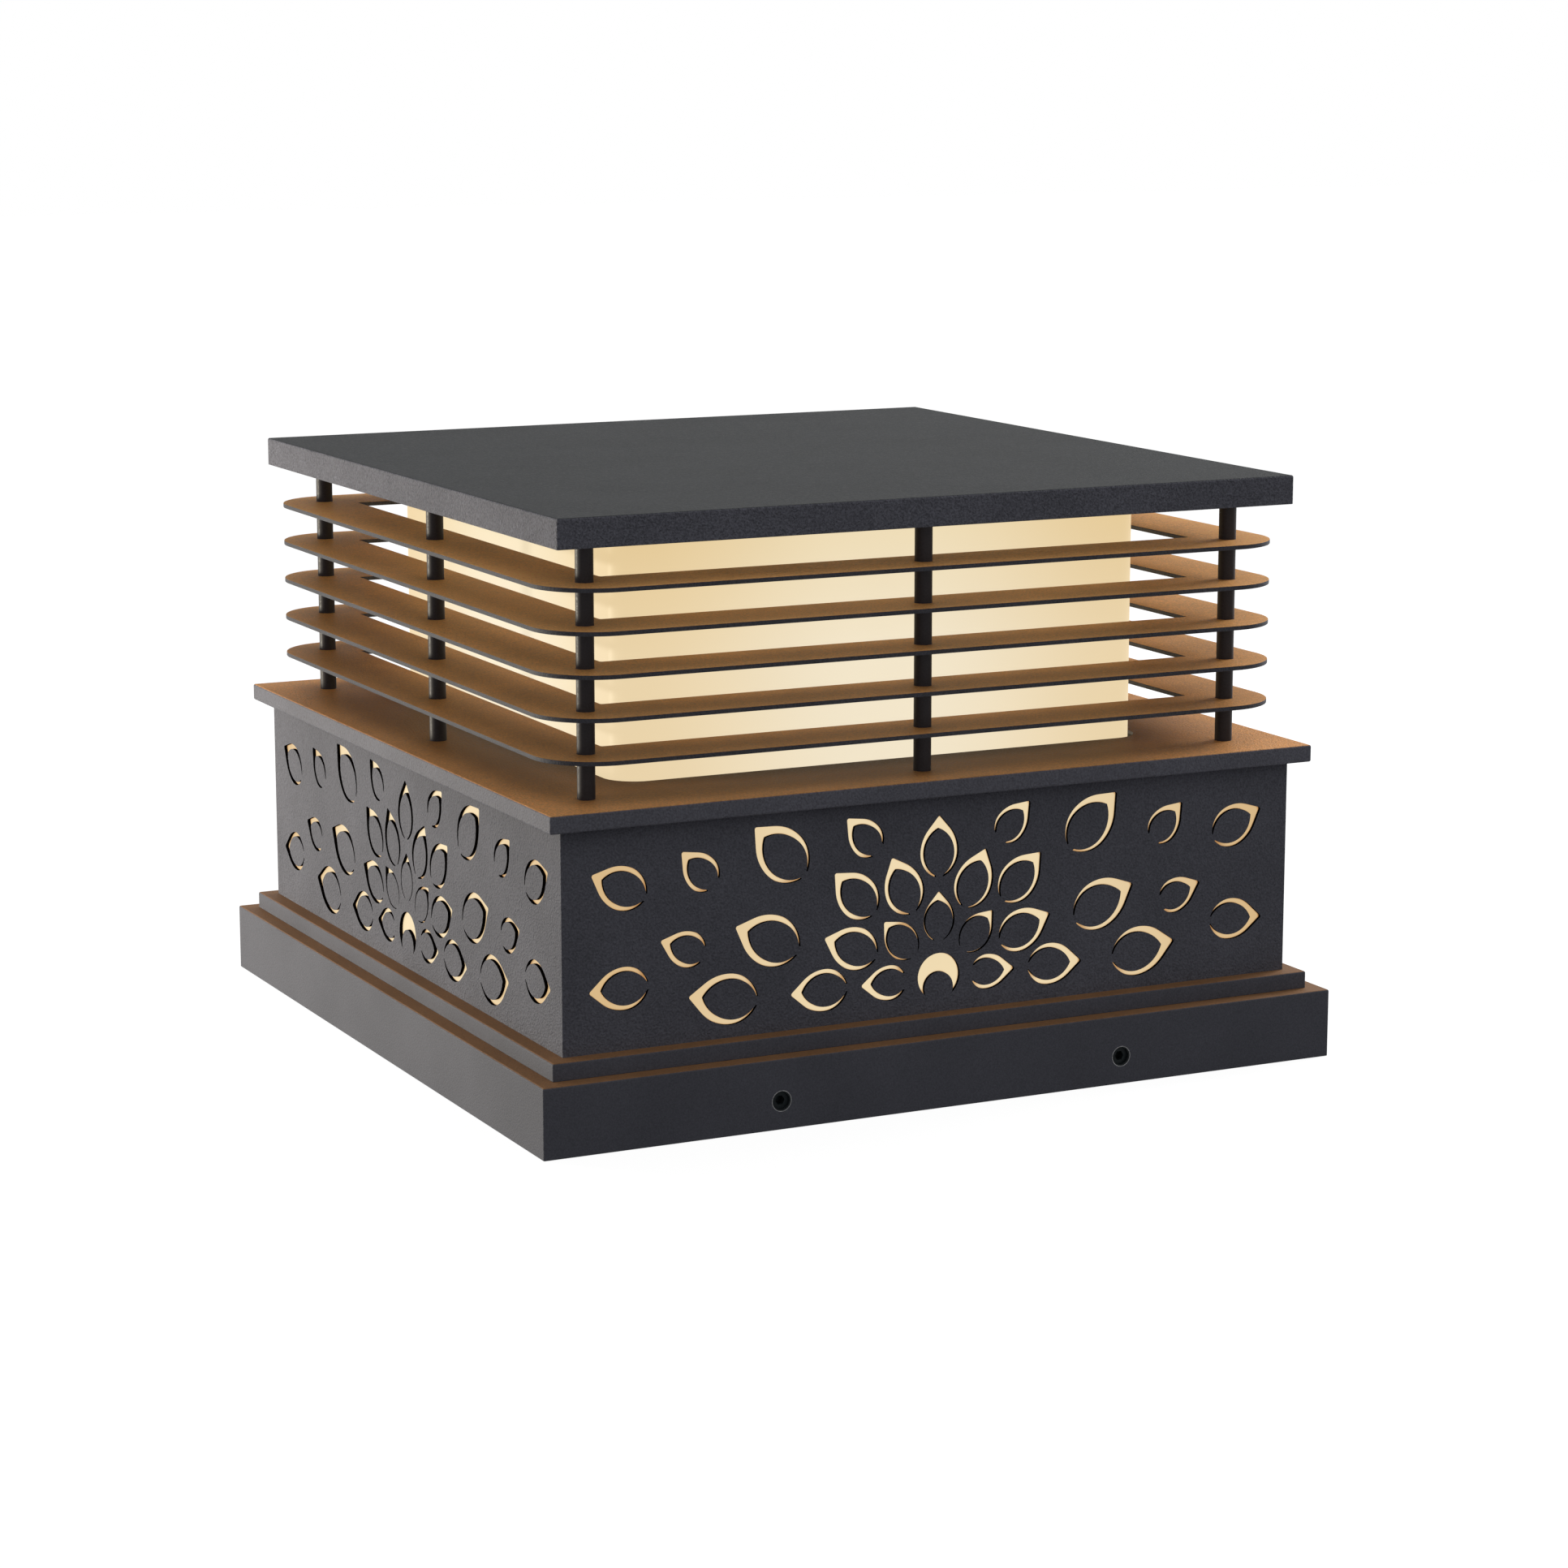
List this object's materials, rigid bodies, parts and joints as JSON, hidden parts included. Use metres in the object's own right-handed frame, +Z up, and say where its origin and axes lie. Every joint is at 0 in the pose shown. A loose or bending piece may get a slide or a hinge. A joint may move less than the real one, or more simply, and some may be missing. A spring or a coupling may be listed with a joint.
{
  "type": "deck post cap light",
  "caption": "Square pillar-top lamp: pierced lotus body over a stepped base, white shade inside louver rings on posts, flat cap.",
  "frame": {"origin": "middle of the base, on the surface that the lamp stands on", "axes": "+Z up, -Y towards the front, the side with the two clamp screws in the skirt"},
  "size_m": [0.3, 0.3, 0.205],
  "materials": {
    "moulding_coat": "charcoal sand-texture powder coat, bronze on the faces that look up",
    "panel_coat": "charcoal sand-texture powder coat",
    "flange_coat": "bronze powder coat on top, charcoal on the rim",
    "cap_coat": "charcoal sand-texture powder coat",
    "louver_coat": "fine bronze powder coat on the flats, charcoal on the edges",
    "post_coat": "satin black coat",
    "opal_shade": "satin opal plastic, lit from inside",
    "opal_diffuser": "opal plastic, lit from behind",
    "galvanised_steel": "dull zinc-coated steel",
    "board_aluminium": "satin",
    "led_lens": "gloss",
    "driver_plastic": "satin",
    "terminal_plastic": "satin",
    "gland_nylon": "satin",
    "silicone_rubber": "matte",
    "insert_steel": "satin",
    "screw_steel": "black oxide"
  },
  "bodies": {
    "root": {"base_skirt": "moulding_coat", "cable_gland": "gland_nylon", "cap_lid": "cap_coat", "cap_tray": "cap_coat", "clamp_inserts": "insert_steel", "clamp_screws": "screw_steel", "corner_angle_back_left": "galvanised_steel", "corner_angle_back_right": "galvanised_steel", "corner_angle_front_left": "galvanised_steel", "corner_angle_front_right": "galvanised_steel", "diffuser_back": "opal_diffuser", "diffuser_front": "opal_diffuser", "diffuser_left": "opal_diffuser", "diffuser_right": "opal_diffuser", "flange_plate": "flange_coat", "gear_tray": "galvanised_steel", "gland_nut": "gland_nylon", "led_board": "board_aluminium", "led_chips": "led_lens", "led_driver": "driver_plastic", "louver_ring_1": "louver_coat", "louver_ring_2": "louver_coat", "louver_ring_3": "louver_coat", "louver_ring_4": "louver_coat", "louver_ring_5": "louver_coat", "mounting_bar_back": "galvanised_steel", "mounting_bar_front": "galvanised_steel", "pierced_panel_back": "panel_coat", "pierced_panel_front": "panel_coat", "pierced_panel_left": "panel_coat", "pierced_panel_right": "panel_coat", "post_back_left": "post_coat", "post_back_middle": "post_coat", "post_back_right": "post_coat", "post_front_left": "post_coat", "post_front_middle": "post_coat", "post_front_right": "post_coat", "post_left_middle": "post_coat", "post_right_middle": "post_coat", "shade": "opal_shade", "shade_gasket_lower": "silicone_rubber", "shade_gasket_upper": "silicone_rubber", "shade_shelf": "galvanised_steel", "step_frame": "moulding_coat", "terminal_block": "terminal_plastic"}
  },
  "joints": []
}
